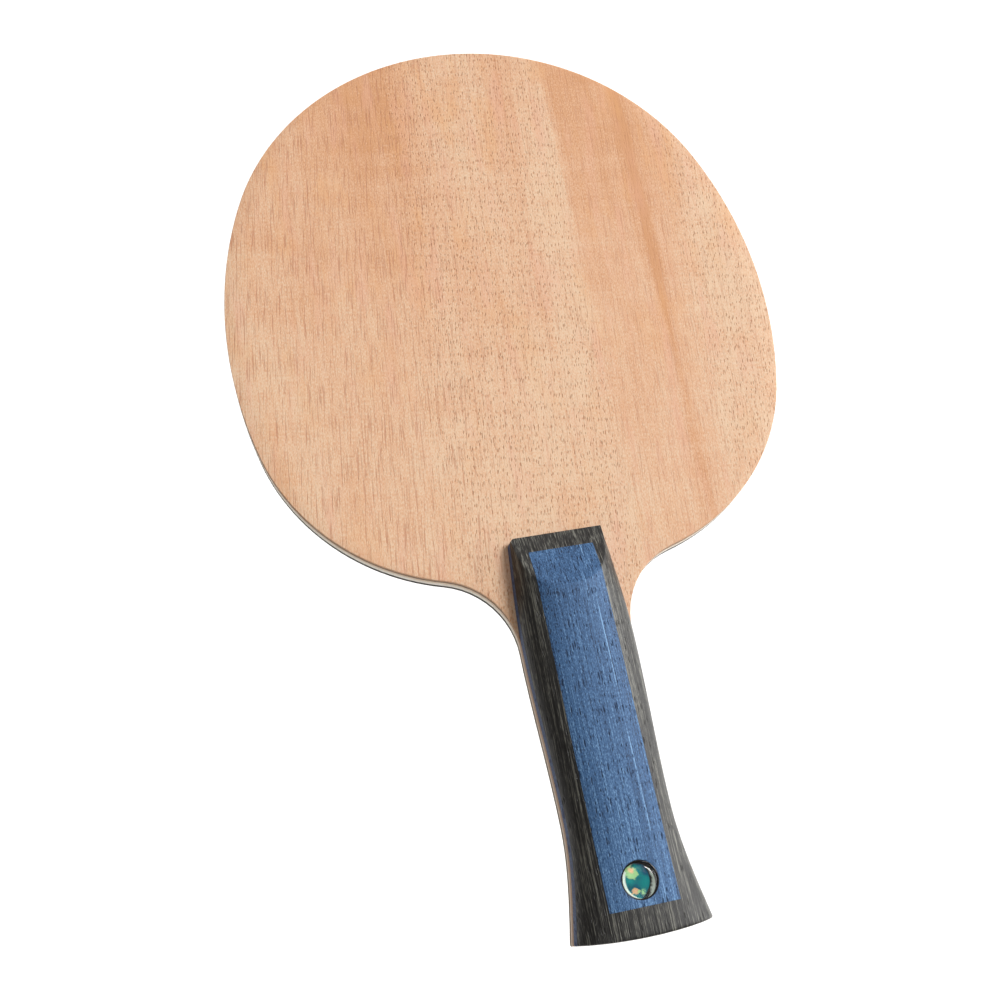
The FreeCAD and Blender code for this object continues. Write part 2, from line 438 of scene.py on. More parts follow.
def grip_rows():
    """Rows along the grip: ("top", share), ("mid", station) or ("butt", share)."""
    reach = -INLAY_TOP
    near = round_steps(TOP_ROUND, TOP_STEPS) + [TOP_ROUND]
    count = math.ceil((reach - TOP_ROUND) / FINE_STEP)
    rows = [("top", step / reach) for step in near]
    for i in range(1, count):
        rows.append(("top", (TOP_ROUND + (reach - TOP_ROUND) * i / count) / reach))
    for start, end, step in (
        (INLAY_TOP, FINE_END, FINE_STEP),
        (FINE_END, BADGE_ROWS_TOP, LONG_STEP),
        (BADGE_ROWS_TOP, BADGE_ROWS_BOTTOM, CELL),
        (BADGE_ROWS_BOTTOM, INLAY_BOTTOM, CELL),
    ):
        count = max(round((start - end) / step), 1)
        rows += [("mid", start + (end - start) * i / count) for i in range(count)]
    rows.append(("mid", INLAY_BOTTOM))
    reach = INLAY_BOTTOM - BUTT_STATION
    count = math.ceil((reach - BUTT_ROUND) / CELL)
    rows += [("butt", (1 - BUTT_ROUND / reach) * i / count) for i in range(1, count + 1)]
    near = reversed(round_steps(BUTT_ROUND, BUTT_STEPS))
    rows += [("butt", 1 - step / reach) for step in near]
    return rows


ROWS = grip_rows()
LAST_ROW = len(ROWS) - 1
POCKET_TOP = ROWS.index(("mid", INLAY_TOP))
POCKET_BOTTOM = ROWS.index(("mid", INLAY_BOTTOM))


def head_line(x, chamfered):
    """Station of the grip's head end, with the small cut across its left corner."""
    if not chamfered:
        return 0.0
    return soft_min(0.0, x + TOP_HALF_WIDTH - CORNER_CHAMFER, BEVEL_SOFTNESS)


def row_station(row, x, chamfered):
    """Station of a row at a distance from the middle."""
    kind, value = row
    if kind == "top":
        top = head_line(x, chamfered)
        return top + (INLAY_TOP - top) * value
    if kind == "butt":
        return INLAY_BOTTOM + (butt_line(x) - INLAY_BOTTOM) * value
    return value


# A point's station and its distance from the middle depend on each other: found in turn
SETTLE_PASSES = 4


def surface_point(row, column, chamfered):
    """A point of the front half's outer surface, in millimetres."""
    side = -1 if column < HALF_STEPS else 1
    from_side = min(column, LAST_COLUMN - column)
    x = 0.0
    for _ in range(SETTLE_PASSES):
        station = row_station(row, x, chamfered)
        across, up, outward = section_point(column_t(from_side, station), station)
        x = side * across
    to_butt = station - butt_line(x)
    to_top = head_line(x, chamfered) - station
    loss = max(round_loss(to_butt, BUTT_ROUND), round_loss(to_top, TOP_ROUND))
    bevel = BEVEL_FOOT - BEVEL_SLOPE * station
    up = soft_min(up - loss * outward.y, bevel - round_loss(to_top, TOP_ROUND), BEVEL_SOFTNESS)
    x = side * max(across - loss * outward.x, 0.0)
    return Vector((x, HEAD_END_Y + station, HALF_BLADE + max(up, 0.0)))


def grip_surface(chamfered):
    """All points of one half's outer surface, by row and column."""
    return [[surface_point(row, j, chamfered) for j in range(LAST_COLUMN + 1)] for row in ROWS]


def in_pocket(i, j):
    """Whether the cell that starts at row i and column j belongs to the inlay."""
    return POCKET_TOP <= i < POCKET_BOTTOM and INLAY_FIRST <= j < INLAY_LAST


def at_height(point, height):
    """The same place in the plan at another height."""
    return (point.x, point.y, height)


def base_skin(surface):
    """The flat blue layer against the blade: upright walls and two flat sides."""
    skin = Skin()
    inner = range(WALL_STEPS, LAST_COLUMN - WALL_STEPS + 1, BASE_SPACING)
    wall = list(range(WALL_STEPS))
    upper = wall + list(inner) + [LAST_COLUMN - j for j in reversed(wall)]
    for i, row in enumerate(surface):
        for j in upper:
            height = row[j].z if j < WALL_STEPS or j > LAST_COLUMN - WALL_STEPS else BASE_TOP
            skin.point(("top", i, j), at_height(row[j], height))
            skin.point(("low", i, j), at_height(row[j], HALF_BLADE))
        for end in (0, LAST_COLUMN):
            skin.index["low", i, end] = skin.index["top", i, end]
    close_slab(skin, len(surface), upper)
    return skin


def close_slab(skin, rows, columns):
    """Faces of a slab whose top and low chains meet at both ends."""
    tops = [[("top", i, j) for j in columns] for i in range(rows)]
    lows = [[("low", i, j) for j in columns] for i in range(rows)]
    for i in range(rows - 1):
        skin.strip(tops[i], tops[i + 1])
        skin.strip(lows[i], lows[i + 1])
    skin.strip(tops[0], lows[0])
    skin.strip(tops[-1], lows[-1])


def shell_skin(surface):
    """The dark crowned shell with its pocket for the inlay."""
    skin = Skin()
    columns = range(WALL_STEPS, LAST_COLUMN - WALL_STEPS + 1)
    ends = (columns[0], columns[-1])
    for i, row in enumerate(surface):
        for j in columns:
            skin.point(("top", i, j), row[j])
            if j not in ends:
                skin.point(("low", i, j), at_height(row[j], BASE_TOP))
            if POCKET_TOP <= i <= POCKET_BOTTOM and INLAY_FIRST <= j <= INLAY_LAST:
                skin.point(("floor", i, j), at_height(row[j], INLAY_FLOOR))
        for end in ends:
            skin.index["low", i, end] = skin.index["top", i, end]
    for i in range(LAST_ROW):
        for j in columns[:-1]:
            skin.cell("floor" if in_pocket(i, j) else "top", i, j)
            skin.cell("low", i, j)
    for i in (0, LAST_ROW):
        skin.strip([("top", i, j) for j in columns], [("low", i, j) for j in columns])
    add_pocket_walls(skin)
    return skin


def add_pocket_walls(skin):
    """Upright walls between the surface and the pocket's floor."""
    across = range(INLAY_FIRST, INLAY_LAST + 1)
    along = range(POCKET_TOP, POCKET_BOTTOM + 1)
    for i in (POCKET_TOP, POCKET_BOTTOM):
        skin.strip([("top", i, j) for j in across], [("floor", i, j) for j in across])
    for j in (INLAY_FIRST, INLAY_LAST):
        skin.strip([("top", i, j) for i in along], [("floor", i, j) for i in along])


HOLE_LIP = 0.06
HOLE_RINGS = 4
HOLE_FLOOR_SHARES = (1.0, 0.66, 0.33)


def inlay_skin(surface, holed):
    """The blue inlay; the front one has a round hole for the badge."""
    skin = Skin()
    for i in range(POCKET_TOP, POCKET_BOTTOM + 1):
        for j in range(INLAY_FIRST, INLAY_LAST + 1):
            skin.point(("top", i, j), surface[i][j])
            skin.point(("floor", i, j), at_height(surface[i][j], INLAY_FLOOR))
    first = ROWS.index(("mid", BADGE_ROWS_TOP))
    last = ROWS.index(("mid", BADGE_ROWS_BOTTOM))
    for i in range(POCKET_TOP, POCKET_BOTTOM):
        for j in range(INLAY_FIRST, INLAY_LAST):
            skin.cell("floor", i, j)
            near_badge = first <= i < last and abs(j + 0.5 - HALF_STEPS) < BADGE_CELLS
            if not (holed and near_badge):
                skin.cell("top", i, j)
    add_pocket_walls(skin)
    if holed:
        add_badge_hole(skin, surface, first, last)
    return skin


def add_badge_hole(skin, surface, first, last):
    """Rings from a square of surface points in to the round hole and down to its floor."""
    left, right = HALF_STEPS - BADGE_CELLS, HALF_STEPS + BADGE_CELLS
    border = [(first, j) for j in range(left, right)]
    border += [(i, right) for i in range(first, last)]
    border += [(last, j) for j in range(right, left, -1)]
    border += [(i, left) for i in range(last, first, -1)]
    centre = Vector((0, BADGE_Y, 0))
    rays = []
    for i, j in border:
        outer = Vector(at_height(surface[i][j], 0))
        rays.append((outer, (outer - centre).normalized()))
    loops = [[("top", *corner) for corner in border]]
    lip_radius = BADGE_RADIUS + HOLE_LIP
    levels = [(lip_radius, share / HOLE_RINGS, 0.0) for share in range(1, HOLE_RINGS + 1)]
    levels.append((BADGE_RADIUS + HOLE_LIP / 3, 1.0, HOLE_LIP / 3))
    levels.append((BADGE_RADIUS, 1.0, HOLE_LIP))
    for number, (radius, share, drop) in enumerate(levels):
        for step, (outer, outward) in enumerate(rays):
            place = outer.lerp(centre + outward * radius, share)
            station = place.y - HEAD_END_Y
            height = HALF_BLADE + section_point(crown_t(abs(place.x), station), station)[1] - drop
            skin.point(("hole", number, step), at_height(place, height))
        loops.append([("hole", number, step) for step in range(len(rays))])
    floor = BADGE_LOW.z
    for number, share in enumerate(HOLE_FLOOR_SHARES):
        for step, (_, outward) in enumerate(rays):
            place = centre + outward * BADGE_RADIUS * share
            skin.point(("hole floor", number, step), at_height(place, floor))
        loops.append([("hole floor", number, step) for step in range(len(rays))])
    for a, b in zip(loops, loops[1:]):
        skin.strip(a + a[:1], b + b[:1])
    skin.point("hole centre", (0, centre.y, floor))
    for a, b in zip(loops[-1], loops[-1][1:] + loops[-1][:1]):
        skin.face(a, b, "hole centre")


def to_back(skin):
    """The same piece on the back of the blade."""
    for point in skin.points:
        point.z = -point.z
    return skin


# ---------- badge

TURNED_STEPS = 72
CUP_BEVEL = 0.12
CUP_RIM_WIDTH = 0.32
CUP_TAPER = 0.35


def turned_skin(profile):
    """A round piece on the badge's axis; the profile is (radius, height) from axis to axis."""
    skin = Skin()
    for k, (radius, height) in enumerate(profile):
        for step in range(TURNED_STEPS):
            angle = 2 * math.pi * step / TURNED_STEPS
            place = (radius * math.cos(angle), BADGE_Y + radius * math.sin(angle), height)
            if radius > 0:
                skin.point((k, step), place)
            else:
                skin.point((k, 0), place)
                skin.index[k, step] = skin.index[k, 0]
        skin.index[k, TURNED_STEPS] = skin.index[k, 0]
    for k in range(len(profile) - 1):
        skin.strip([(k, s) for s in range(TURNED_STEPS + 1)],
                   [(k + 1, s) for s in range(TURNED_STEPS + 1)])
    return skin


def cup_skin():
    """The dark cup: a thin wall with a rounded rim, and an inside that narrows to its floor."""
    rim = BADGE_HIGH.z
    inner = BADGE_RADIUS - CUP_RIM_WIDTH
    return turned_skin([
        (0, BADGE_LOW.z),
        (BADGE_RADIUS - CUP_BEVEL, BADGE_LOW.z),
        (BADGE_RADIUS, BADGE_LOW.z + CUP_BEVEL),
        (BADGE_RADIUS, rim - CUP_BEVEL),
        (BADGE_RADIUS - CUP_BEVEL / 3, rim - CUP_BEVEL / 3),
        (BADGE_RADIUS - CUP_BEVEL, rim),
        (inner + CUP_BEVEL, rim),
        (inner + CUP_BEVEL / 3, rim - CUP_BEVEL / 3),
        (inner, rim - CUP_BEVEL),
        (inner - CUP_TAPER, CUP_FLOOR),
        (0, CUP_FLOOR),
    ])


GLASS_GAP = 0.02
LENS_FULLNESS = 7.0
DOME_STEPS = 18
DOME_CROWDING = 0.6


def foil_skin():
    """The thin coloured disc on the cup's floor."""
    radius = BADGE_RADIUS - CUP_RIM_WIDTH - CUP_TAPER
    low = CUP_FLOOR + GLASS_GAP / 2
    return turned_skin([
        (0, low),
        (radius, low),
        (radius, FOIL_TOP),
        (radius / 2, FOIL_TOP),
        (0, FOIL_TOP),
    ])


def lens_skin():
    """The clear filling of the cup with its low dome."""
    low = FOIL_TOP + GLASS_GAP
    rim = BADGE_HIGH.z - CUP_BEVEL
    radius = BADGE_RADIUS - CUP_RIM_WIDTH - GLASS_GAP
    profile = [(0, low), (radius - CUP_TAPER, low), (radius, rim)]
    for i in range(1, DOME_STEPS + 1):
        share = (1 - i / DOME_STEPS) ** DOME_CROWDING
        profile.append((radius * share, rim + (LENS_TOP - rim) * (1 - share ** LENS_FULLNESS)))
    return turned_skin(profile)


# ---------- material helpers

def linear(rgb):
    """A colour given as 0-255 display values, as linear RGBA."""
    def channel(value):
        share = value / 255
        return share / 12.92 if share <= 0.04045 else ((share + 0.055) / 1.055) ** 2.4
    return (*[channel(value) for value in rgb], 1.0)


# Dashes: how gradually they are left out, and the share of their width that is solid
DASH_CHOICE = 0.35
DASH_SOLID = 0.45


class Nodes:
    """Short ways to add shader nodes to one material."""

    def __init__(self, name):
        self.material = bpy.data.materials.new(name)
        self.material.use_nodes = True
        self.tree = self.material.node_tree
        self.shader = self.tree.nodes["Principled BSDF"]

    def add(self, kind, inputs=(), **settings):
        """Adds a node; an input may be a number, a colour or another node's output."""
        node = self.tree.nodes.new(kind)
        for key, value in settings.items():
            setattr(node, key, value)
        sockets = [s for s in node.inputs if s.enabled]
        for key, value in dict(inputs).items():
            socket = sockets[key] if isinstance(key, int) else node.inputs[key]
            self.plug(socket, value)
        return next(s for s in node.outputs if s.enabled)

    def plug(self, socket, value):
        """Links an output to a socket, or sets the socket's own value."""
        if isinstance(value, bpy.types.NodeSocket):
            self.tree.links.new(value, socket)
        else:
            socket.default_value = value

    def place(self):
        """Position on the object in millimetres."""
        if not hasattr(self, "position"):
            coordinates = self.tree.nodes.new("ShaderNodeTexCoord").outputs["Object"]
            scale = (1 / MM, 1 / MM, 1 / MM)
            self.position = self.add("ShaderNodeMapping", {0: coordinates, "Scale": scale})
        return self.position

    def grain(self, across, along, lean=0.0, shift=0.0, deep=None):
        """Position counted in cells of the given size in mm, with the grain along Y."""
        turned = self.add("ShaderNodeMapping", {
            0: self.place(),
            "Rotation": (0, 0, math.radians(lean)),
            "Location": (shift, shift, shift),
        })
        size = (1 / across, 1 / along, 1 / (deep or across))
        return self.add("ShaderNodeMapping", {0: turned, "Scale": size})

    def axis(self, name):
        """One coordinate of the position, in millimetres."""
        node = self.tree.nodes.new("ShaderNodeSeparateXYZ")
        self.tree.links.new(self.place(), node.inputs[0])
        return node.outputs[name]

    def noise(self, across, along, detail=2.0, roughness=0.5, **turn):
        """Soft noise from 0 to 1, with cells of the given size in mm."""
        return self.add("ShaderNodeTexNoise", {
            "Vector": self.grain(across, along, **turn), "Scale": 1.0,
            "Detail": detail, "Roughness": roughness})

    def math(self, operation, a, b=0.0, c=0.0):
        """One sum on one to three numbers."""
        node = self.tree.nodes.new("ShaderNodeMath")
        node.operation = operation
        for socket, value in zip(node.inputs, (a, b, c)):
            if socket.enabled:
                self.plug(socket, value)
        return node.outputs[0]

    def times(self, a, b):
        """The product of two numbers."""
        return self.math("MULTIPLY", a, b)

    def line(self, value, slope, start):
        """A straight line: the start where the value is 0, and the slope more where it is 1."""
        return self.math("MULTIPLY_ADD", value, slope, start)

    def swing(self, value, amount):
        """A 0-1 value turned into a change of at most half the amount either way."""
        return self.times(self.math("SUBTRACT", value, 0.5), amount)

    def total(self, *values):
        """The sum of several numbers."""
        result = values[0]
        for value in values[1:]:
            result = self.math("ADD", result, value)
        return result

    def step(self, value, low, high):
        """0 below low, 1 above high and smooth between; low above high turns it round."""
        return self.add("ShaderNodeMapRange", {
            "Value": value, "From Min": low, "From Max": high},
            interpolation_type="SMOOTHSTEP")

    def ramp(self, value, stops, low=0.0, high=1.0):
        """A curve through (position, level or colour) stops."""
        share = self.math("DIVIDE", self.math("SUBTRACT", value, low), high - low)
        node = self.tree.nodes.new("ShaderNodeValToRGB")
        node.color_ramp.interpolation = "EASE"
        elements = node.color_ramp.elements
        while len(elements) < len(stops):
            elements.new(0.5)
        for element, (position, level) in zip(elements, sorted(stops)):
            element.position = (position - low) / (high - low)
            element.color = level if isinstance(level, tuple) else (level, level, level, 1.0)
        self.tree.links.new(share, node.inputs[0])
        return node.outputs[0]

    def mix(self, factor, a, b):
        """Two colours mixed."""
        return self.add("ShaderNodeMix", {0: factor, 1: a, 2: b}, data_type="RGBA")

    def dashes(self, across, along, width, low=0.0, **turn):
        """Short marks, 1 inside: one in each cell seen from above, some left out at random."""
        node = self.tree.nodes.new("ShaderNodeTexVoronoi")
        node.voronoi_dimensions = "2D"
        node.inputs["Scale"].default_value = 1.0
        self.tree.links.new(self.grain(across, along, **turn), node.inputs["Vector"])
        picked = self.step(node.outputs["Color"], low, low + DASH_CHOICE)
        mark = self.step(node.outputs["Distance"], width, width * DASH_SOLID)
        return self.times(mark, picked)

    def away(self, x, y):
        """Distance from an upright line through a place on the object, in millimetres."""
        away_x = self.math("SUBTRACT", self.axis("X"), x)
        away_y = self.math("SUBTRACT", self.axis("Y"), y)
        square = self.line(away_x, away_x, self.times(away_y, away_y))
        return self.math("SQRT", square)

    def tint(self, colour, where, tint, strength):
        """A colour with a tint laid over it where a 0-1 value says, at most so strongly."""
        return self.mix(self.times(where, strength), colour, tint)

    def bump(self, height, depth):
        """Bump from a 0-1 height, with its full depth in millimetres."""
        return self.add("ShaderNodeBump", {
            "Height": height, "Strength": 1.0, "Distance": depth * MM})

    def finish(self, **values):
        """Plugs values into the shader by their socket names, with _ for a space."""
        for key, value in values.items():
            self.plug(self.shader.inputs[key.replace("_", " ")], value)
        return self.material


# ---------- materials

FACE_PALE = linear((208, 180, 152))
FACE_MIDDLE = linear((202, 160, 129))
FACE_DARK = linear((190, 140, 101))
FACE_AMBER = linear((204, 152, 104))
FACE_BLUSH = linear((206, 156, 134))
FACE_PORE = linear((150, 96, 60))
FACE_LINE = linear((166, 112, 84))
FACE_RIM = linear((206, 162, 128))
# Painted shade on the plies' edges along the tang, where they sit between the grip halves
TANG_SHADE = linear((180, 144, 112))

# Tone of the face ply across the blade: (mm from the middle, 0 pale to 1 dark)
FACE_BANDS = [
    (-76, 0.2), (-60, 0.34), (-44, 0.46), (-34, 0.6), (-22, 0.54), (-12, 0.34), (4, 0.22),
    (11.3, 0.3), (12.3, 0.52), (13.3, 0.3), (21, 0.16), (24, 0.17), (28.5, 0.58), (34, 0.6),
    (38, 0.72), (42, 0.62), (45.2, 0.74), (46.6, 1.36), (47.4, 1.36), (48.8, 0.66), (56, 0.46),
    (64, 0.26), (76, 0.3),
]
BANDS_REACH = 80
GRAIN_TILT = 0.03
HEAD_MIDDLE_Y = TIP_Y / 2
NECK_Y = HEAD_END_Y + 12

# Where dark lines and pores come in across the face, in mm from the middle: none, then full
LINED_LEFT = (-4, -20)
PORES_LEFT = (-30, -14)
PORES_RIGHT = (27, 23)
PORES_FAR_RIGHT = (50, 62)

# The same for the tone of the ply's own edge, in mm from the middle of the blade's thickness
RIM_TONE = (HALF_BLADE - 0.02, HALF_BLADE - 0.22)

# How much rougher wood is in its pores
PORE_DULLNESS = 0.2


def face_wood():
    """Pale reddish veneer: long bands, fine grain lines, pore dashes and a soft cross figure."""
    n = Nodes("face_wood")
    wander = n.total(n.swing(n.noise(across=30, along=60), 4.0),
                     n.swing(n.noise(across=2.5, along=26, shift=17, detail=3.0), 3.0))
    tilt = n.times(n.math("SUBTRACT", n.axis("Y"), HEAD_MIDDLE_Y), -GRAIN_TILT)
    across = n.total(n.axis("X"), tilt, wander)
    bands = n.ramp(across, FACE_BANDS, low=-BANDS_REACH, high=BANDS_REACH)
    to_tip = n.step(n.axis("Y"), NECK_Y, TIP_Y)
    bands = n.times(bands, n.line(to_tip, slope=1.05, start=0.33))
    bands = n.total(bands, n.line(to_tip, slope=-0.1, start=0.1))
    patches = n.swing(n.noise(across=16, along=42, shift=7, detail=4.0), 0.7)
    figure = n.swing(n.noise(across=22, along=4.5, lean=4, shift=31, detail=3.0), 0.5)
    threads = n.noise(across=0.9, along=26, lean=2, shift=3, detail=5.0, roughness=0.65)
    lines = n.noise(across=0.42, along=10, lean=6, shift=11, detail=3.0, roughness=0.7)
    fine = n.noise(across=0.3, along=0.75, lean=7, shift=5, roughness=0.7)
    lined = n.step(across, *LINED_LEFT)
    middle = n.times(n.step(across, *PORES_LEFT), n.step(across, *PORES_RIGHT))
    porous = n.math("MAXIMUM", middle, n.step(across, *PORES_FAR_RIGHT))
    tone = n.total(bands, patches, figure, n.swing(threads, 0.8), n.swing(fine, 2.4))
    colour = n.ramp(tone, [(0.0, FACE_PALE), (0.5, FACE_MIDDLE), (1.0, FACE_DARK)])
    amber = n.step(n.noise(across=9, along=26, shift=61, detail=4.0, roughness=0.6), 0.48, 0.72)
    amber = n.times(amber, n.line(to_tip, slope=0.3, start=0.2))
    colour = n.mix(amber, colour, FACE_AMBER)
    blush = n.step(n.noise(across=5, along=28, lean=4, shift=77, detail=3.0), 0.5, 0.72)
    colour = n.tint(colour, blush, FACE_BLUSH, strength=0.35)
    dark_lines = n.times(n.step(lines, 0.5, 0.66), n.line(lined, slope=0.4, start=0.6))
    pores = n.math("MAXIMUM", n.dashes(across=0.9, along=3.4, width=0.21, lean=12, low=0.2),
                   n.dashes(across=0.72, along=2.3, width=0.2, lean=9, shift=50, low=0.4))
    pores = n.times(pores, n.line(porous, slope=0.75, start=0.25))
    colour = n.tint(colour, dark_lines, FACE_LINE, strength=0.58)
    colour = n.tint(colour, pores, FACE_PORE, strength=0.46)
    on_edge = n.step(n.math("ABSOLUTE", n.axis("Z")), *RIM_TONE)
    colour = n.mix(on_edge, colour, FACE_RIM)
    # Painted shade on the back face ply's edge
    colour = n.tint(colour, on_edge, BACK_SHADE, strength=back_shade(n))
    # Painted shade on the ply's edge along the tang
    colour = n.mix(tang_shade(n), colour, TANG_SHADE)
    relief = n.total(n.swing(fine, 0.35), n.times(pores, -0.9), n.times(dark_lines, -0.3))
    roughness = n.total(n.swing(threads, 0.12), n.times(pores, PORE_DULLNESS), 0.62)
    return n.finish(Base_Color=colour, Roughness=roughness, Normal=n.bump(relief, depth=0.1),
                    Specular_IOR_Level=0.2)


# Stations at which the painted shade on the tang's edges starts and is full
TANG_SHADE_START = -20.0
TANG_SHADE_FULL = -30.0


def tang_shade(n):
    """How much painted shade darkens the plies' edges: only along the tang, between the grip
    halves.
    """
    station = n.math("SUBTRACT", n.axis("Y"), HEAD_END_Y)
    below = n.step(station, TANG_SHADE_START, TANG_SHADE_FULL)
    return n.times(below, n.line(n.noise(across=3, along=6), slope=0.4, start=0.4))


FIBRE_MIDDLE = (high_corner("fibre_ply_front").z + low_corner("fibre_ply_front").z) / 2
EDGE_DYE = linear((128, 98, 74))
# Painted shade on the back part of the blade's edge, from the back fibre ply out to the back face
BACK_SHADE = linear((30, 26, 24))
BACK_SHADE_START = 0.45 - FIBRE_MIDDLE
BACK_SHADE_FULL = 0.1 - FIBRE_MIDDLE


def back_shade(n):
    """How much painted shade darkens the edge from the back fibre ply out to the back face."""
    return n.step(n.axis("Z"), BACK_SHADE_START, BACK_SHADE_FULL)


# Heights at which the edge's painted shade starts and is full: only the front half is painted
# darker, the back half is left pale as if lit from the floor
EDGE_SHADE_HEIGHTS = (-0.2, 0.9)
# Distances from the middle of a fibre ply at which its dye shows not at all and fully
DYE_REACH = (0.36, 0.18)

# Pale, dark and painted-shade tones of the plies seen on the edge, and where each comes
TONE_STOPS = (0.25, 0.85, 1.6)
INNER_TONES = [linear((240, 228, 208)), linear((212, 192, 164)), linear((148, 112, 84))]
CORE_TONES = [linear((253, 247, 236)), linear((240, 228, 212)), linear((232, 204, 176))]


def edge_wood(name, tones, shift):
    """Lengthwise fibres of a ply seen on its edge, stained beside the fibre plies."""
    n = Nodes(name)
    streaks = n.noise(across=0.35, along=8, shift=shift, detail=4.0, roughness=0.6)
    pith = n.noise(across=5, along=14, shift=shift + 9)
    pores = n.dashes(across=0.8, along=2.4, width=0.2, shift=shift, low=0.3)
    # Painted shade: the front part of the edge darker, the back part pale as if lit from the floor
    upper_shade = n.step(n.axis("Z"), *EDGE_SHADE_HEIGHTS)
    tone = n.total(streaks, n.swing(pith, 0.5), n.times(pores, 0.4), upper_shade)
    colour = n.ramp(tone, list(zip(TONE_STOPS, tones)), high=2.0)
    height = n.math("ABSOLUTE", n.axis("Z"))
    from_fibre = n.math("ABSOLUTE", n.math("SUBTRACT", height, FIBRE_MIDDLE))
    dyed = n.times(n.step(from_fibre, *DYE_REACH), n.line(streaks, slope=0.5, start=0.2))
    colour = n.mix(dyed, colour, EDGE_DYE)
    # Painted shade on the edge along the tang
    colour = n.mix(tang_shade(n), colour, TANG_SHADE)
    # Painted shade on the back part of the edge
    colour = n.mix(back_shade(n), colour, BACK_SHADE)
    return n.finish(Base_Color=colour, Roughness=n.line(streaks, slope=0.15, start=0.55),
                    Normal=n.bump(n.math("SUBTRACT", streaks, pores), depth=0.04),
                    Specular_IOR_Level=0.3)


FIBRE_PITCH = 0.9
TOW_DARK = linear((24, 23, 24))
TOW_PALE = linear((48, 48, 54))


def fibre_weave():
    """Dark fibre cloth set in resin: crossing tows of fine hairs."""
    n = Nodes("fibre_weave")
    wave = 2 * math.pi / FIBRE_PITCH
    warp = n.math("SINE", n.times(n.axis("X"), wave))
    weft = n.math("SINE", n.times(n.axis("Y"), wave))
    over = n.step(n.times(warp, weft), -0.2, 0.2)
    hairs = n.noise(across=0.12, along=1.6)
    tone = n.total(n.times(over, 0.5), n.swing(hairs, 0.5))
    colour = n.ramp(tone, [(0.0, TOW_DARK), (0.7, TOW_PALE)])
    return n.finish(Base_Color=colour, Roughness=n.line(hairs, slope=0.2, start=0.3),
                    Normal=n.bump(tone, depth=0.03))


BLACK_DEEP = linear((13, 13, 12))
BLACK_MIDDLE = linear((36, 36, 36))
BLACK_STREAK = linear((106, 106, 99))


def black_dyed_wood():
    """Wood dyed near-black, satin, with fine lengthwise fibres of lighter grey."""
    n = Nodes("black_dyed_wood")
    fibres = n.noise(across=0.26, along=20, lean=1, shift=2, deep=1.5, detail=3.0, roughness=0.6)
    bands = n.noise(across=2.2, along=55, shift=8, detail=3.0)
    fine = n.noise(across=0.13, along=1.6, shift=4, deep=1.5)
    pores = n.dashes(across=0.85, along=5.0, width=0.2, lean=1, low=0.3)
    tone = n.total(fibres, n.swing(bands, 0.3), n.swing(fine, 0.4))
    colour = n.ramp(tone, [(0.34, BLACK_DEEP), (0.5, BLACK_MIDDLE), (0.7, BLACK_STREAK)])
    colour = n.tint(colour, pores, BLACK_DEEP, strength=0.75)
    relief = n.total(n.swing(fibres, 0.8), n.swing(fine, 0.3), n.times(pores, -0.8))
    roughness = n.total(n.swing(fibres, 0.3), n.times(pores, PORE_DULLNESS), 0.46)
    return n.finish(Base_Color=colour, Roughness=roughness, Normal=n.bump(relief, depth=0.12),
                    Specular_IOR_Level=0.43)


BLUE_DEEP = linear((14, 30, 54))
BLUE_MIDDLE = linear((52, 86, 126))
BLUE_STREAK = linear((112, 150, 190))
# The base layer's own duller blue, painted lighter as fill light on its dim upright walls
BASE_TINT_AND_PAINTED_FILL = linear((92, 98, 128))

# A pale thread along the inlay, how far its edge fades, and where the base layer's duller,
# painted-lighter blue ends
VEIN_X = 5.0
VEIN_EDGE = (0.22, 0.08)
BASE_EDGE = (BASE_TOP + 0.2, BASE_TOP)


def blue_dyed_wood():
    """Wood dyed blue: pale lengthwise threads, dark pore dashes, and in the base layer a duller
    blue that is also painted lighter, as painted fill light on its dim upright walls.
    """
    n = Nodes("blue_dyed_wood")
    threads = n.noise(across=0.34, along=34, lean=0.5, shift=6, deep=2.0, detail=5.0, roughness=0.7)
    bands = n.noise(across=3.0, along=55, shift=14, detail=3.0)
    fine = n.noise(across=0.22, along=0.6, shift=1, deep=1.5, roughness=0.7)
    pores = n.math("MAXIMUM", n.dashes(across=1.25, along=7.5, width=0.17, lean=2, low=0.4),
                   n.dashes(across=0.75, along=3.0, width=0.2, lean=3, shift=40, low=0.4))
    from_vein = n.total(n.axis("X"), n.swing(n.noise(across=2, along=40), 0.8), -VEIN_X)
    vein = n.step(n.math("ABSOLUTE", from_vein), *VEIN_EDGE)
    vein = n.times(vein, n.step(n.noise(across=3, along=16, shift=9), 0.4, 0.55))
    to_butt = n.step(n.axis("Y"), HEAD_END_Y, BUTT_Y)
    tone = n.total(threads, n.swing(bands, 0.25), n.swing(fine, 0.9), n.times(vein, 0.3),
                   n.swing(to_butt, 0.05))
    colour = n.ramp(tone, [(0.25, BLUE_DEEP), (0.5, BLUE_MIDDLE), (0.85, BLUE_STREAK)])
    colour = n.tint(colour, pores, BLUE_DEEP, strength=0.9)
    # The base layer: its own duller blue, and painted light that lifts its dim walls
    in_base = n.step(n.math("ABSOLUTE", n.axis("Z")), *BASE_EDGE)
    colour = n.tint(colour, in_base, BASE_TINT_AND_PAINTED_FILL, strength=0.6)
    relief = n.total(n.swing(threads, 0.6), n.swing(fine, 0.4), n.times(pores, -0.9))
    roughness = n.total(n.swing(threads, 0.2), n.times(pores, PORE_DULLNESS), 0.6)
    return n.finish(Base_Color=colour, Roughness=roughness, Normal=n.bump(relief, depth=0.07),
                    Specular_IOR_Level=0.3)


PLASTIC_DARK = linear((4, 5, 6))
PLASTIC_WORN = linear((16, 17, 19))


